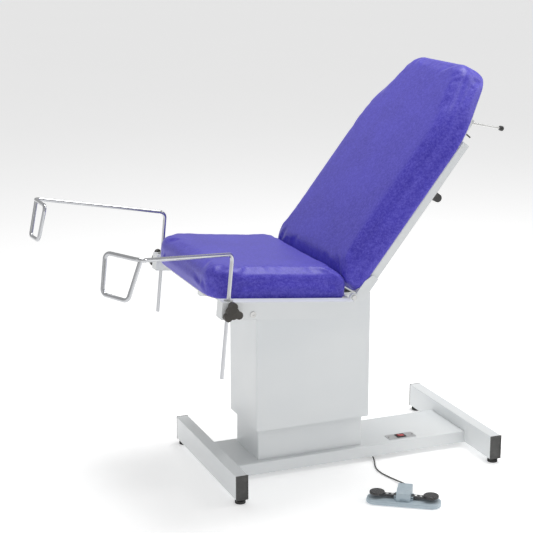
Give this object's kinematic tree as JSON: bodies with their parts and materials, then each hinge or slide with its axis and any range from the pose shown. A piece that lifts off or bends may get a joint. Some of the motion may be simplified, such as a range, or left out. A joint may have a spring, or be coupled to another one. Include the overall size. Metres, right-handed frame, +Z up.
{
  "type": "medical exam table",
  "caption": "Height-adjustable gynaecological exam table with hinged backrest, swivelling heel loops, lift column, I-shaped base and two-button foot pedal.",
  "frame": {"origin": "centre of the overall bounding box, on the floor", "axes": "+X from the foot end to the head end, +Y towards the patient's right side, +Z up"},
  "size_m": [1.4267, 0.9416, 1.2988],
  "materials": {
    "white_paint": "semi-gloss powder coat",
    "inner_steel": "bare steel",
    "chrome_rod": "polished chrome",
    "zinc": "zinc plated",
    "cap_plastic": "moulded dark grey plastic",
    "foot_rubber": "black rubber",
    "knob_plastic": "moulded dark brown-grey plastic",
    "guide_plastic": "natural acetal",
    "bushing_plastic": "grey nylon",
    "board_laminate": "plywood with white laminate faces",
    "leatherette": "coated upholstery fabric, blue leatherette with a fine fibre grain",
    "box_plastic": "moulded black plastic",
    "switch_plate": "satin steel",
    "switch_black": "moulded black plastic",
    "rocker_red": "red plastic",
    "pedal_grey": "pale blue-grey plastic",
    "pedal_dark": "dark grey plastic",
    "pedal_rubber": "black rubber",
    "cord_sheath": "dark grey cable sheath",
    "gas_black": "black cylinder paint",
    "grip_plastic": "dark grey plastic"
  },
  "bodies": {
    "base": {"front_cross_tube": "white_paint", "rear_cross_tube": "white_paint", "tube_end_caps": "cap_plastic", "foot_pads": "foot_rubber", "base_rails": "white_paint", "base_cover": "white_paint", "column_foot_plate": "inner_steel", "foot_plate_bolts": "zinc", "inner_column": "white_paint", "lift_outer_tube": "inner_steel", "lift_guide_pads": "guide_plastic", "actuator_cylinder": "gas_black", "control_box": "box_plastic", "cable_gland": "box_plastic", "mains_inlet": "switch_black", "switch_plate": "switch_plate", "switch_plate_screws": "zinc", "switch_housing": "switch_black", "pedal_base": "pedal_grey", "pedal_feet": "pedal_rubber", "pedal_cover": "pedal_grey", "pedal_gland": "pedal_dark", "pedal_cord": "cord_sheath"},
    "power_rocker": {"rocker": "rocker_red"},
    "pedal_left": {"pedal_arm_left": "pedal_dark", "pedal_button_left": "pedal_rubber"},
    "pedal_right": {"pedal_arm_right": "pedal_dark", "pedal_button_right": "pedal_rubber"},
    "lift": {"sleeve": "white_paint", "deck_plate": "white_paint", "lift_inner_tube": "inner_steel", "actuator_rod": "chrome_rod", "saddle_plates": "white_paint", "seat_cross_tubes": "white_paint", "seat_rail_left": "white_paint", "seat_rail_right": "white_paint", "rail_screws": "zinc", "seat_board": "board_laminate", "seat_cushion": "leatherette", "gas_bracket": "white_paint", "gas_cylinder": "gas_black"},
    "gas_spring_rod": {"gas_rod": "chrome_rod"},
    "backrest": {"back_frame": "white_paint", "hinge_pins": "zinc", "crank": "zinc", "back_board": "board_laminate", "back_cushion": "leatherette", "roll_clips": "white_paint"},
    "release": {"release_lever": "zinc", "release_grip": "grip_plastic"},
    "roll_holder": {"roll_rod": "zinc", "roll_eyes": "grip_plastic"},
    "roll_clamp": {"roll_clamp": "grip_plastic"},
    "swivel_left": {"bushing_left": "bushing_plastic"},
    "swivel_right": {"bushing_right": "bushing_plastic"},
    "holder_left": {"leg_holder_left": "chrome_rod"},
    "holder_right": {"leg_holder_right": "chrome_rod"},
    "clamp_left": {"knob_left": "knob_plastic"},
    "clamp_right": {"knob_right": "knob_plastic"}
  },
  "joints": [
    {"name": "lift_height", "type": "slide", "parent": "base", "child": "lift", "axis": [0, 0, 1], "range_m": [-0.08, 0.2]},
    {"name": "backrest_hinge", "type": "hinge", "parent": "lift", "child": "backrest", "pos_m": [0.163, 0.10675, 0.624], "axis": [0, -1, 0], "range_deg": [-52, 4]},
    {"name": "gas_spring_stroke", "type": "slide", "parent": "lift", "child": "gas_spring_rod", "axis": [0.9952, 0, -0.0976], "range_m": [-0.0495, 0.0085]},
    {"name": "release_lever_turn", "type": "hinge", "parent": "backrest", "child": "release", "pos_m": [0.43143, -0.13725, 0.92697], "axis": [0, -1, 0], "range_deg": [0, 14], "stiffness_Nm_per_rad": 0.6, "springref_deg": -11.46},
    {"name": "roll_holder_fold", "type": "hinge", "parent": "backrest", "child": "roll_holder", "pos_m": [0.59482, 0.10675, 1.12798], "axis": [0, -1, 0], "range_deg": [0, 50]},
    {"name": "roll_clamp_turn", "type": "hinge", "parent": "backrest", "child": "roll_clamp", "pos_m": [0.58475, -0.09325, 1.09397], "axis": [-0.788, 0, 0.6157], "range_deg": [0, 180]},
    {"name": "holder_left_swivel", "type": "hinge", "parent": "lift", "child": "swivel_left", "pos_m": [-0.25758, -0.20825, 0.66524], "axis": [0.0976, 0, 0.9952], "range_deg": [-50, 60]},
    {"name": "holder_left_height", "type": "slide", "parent": "swivel_left", "child": "holder_left", "axis": [0.0976, 0, 0.9952], "range_m": [-0.11, 0.18]},
    {"name": "holder_right_swivel", "type": "hinge", "parent": "lift", "child": "swivel_right", "pos_m": [-0.25758, 0.42175, 0.66524], "axis": [-0.0976, 0, -0.9952], "range_deg": [-40, 80]},
    {"name": "holder_right_height", "type": "slide", "parent": "swivel_right", "child": "holder_right", "axis": [0.0976, 0, 0.9952], "range_m": [-0.11, 0.14]},
    {"name": "clamp_left_turn", "type": "hinge", "parent": "lift", "child": "clamp_left", "pos_m": [-0.26017, -0.23825, 0.63887], "axis": [0, -1, 0], "range_deg": [0, 360]},
    {"name": "clamp_right_turn", "type": "hinge", "parent": "lift", "child": "clamp_right", "pos_m": [-0.26017, 0.45175, 0.63887], "axis": [0, 1, 0], "range_deg": [0, 360]},
    {"name": "power_rocker_tilt", "type": "hinge", "parent": "base", "child": "power_rocker", "pos_m": [0.447, 0.03075, 0.053], "axis": [0, -1, 0], "range_deg": [0, 16]},
    {"name": "pedal_left_press", "type": "hinge", "parent": "base", "child": "pedal_left", "pos_m": [0.24242, -0.33523, 0.021], "axis": [-0.5519, -0.8339, 0], "range_deg": [0, 3.2], "stiffness_Nm_per_rad": 5, "springref_deg": -1.72},
    {"name": "pedal_right_press", "type": "hinge", "parent": "base", "child": "pedal_right", "pos_m": [0.28579, -0.36393, 0.021], "axis": [0.5519, 0.8339, 0], "range_deg": [0, 3.2], "stiffness_Nm_per_rad": 5, "springref_deg": -1.72}
  ],
  "couplings": [
    {"joint": "gas_spring_stroke", "follows": "backrest_hinge", "m_per_rad": 0.0532}
  ]
}
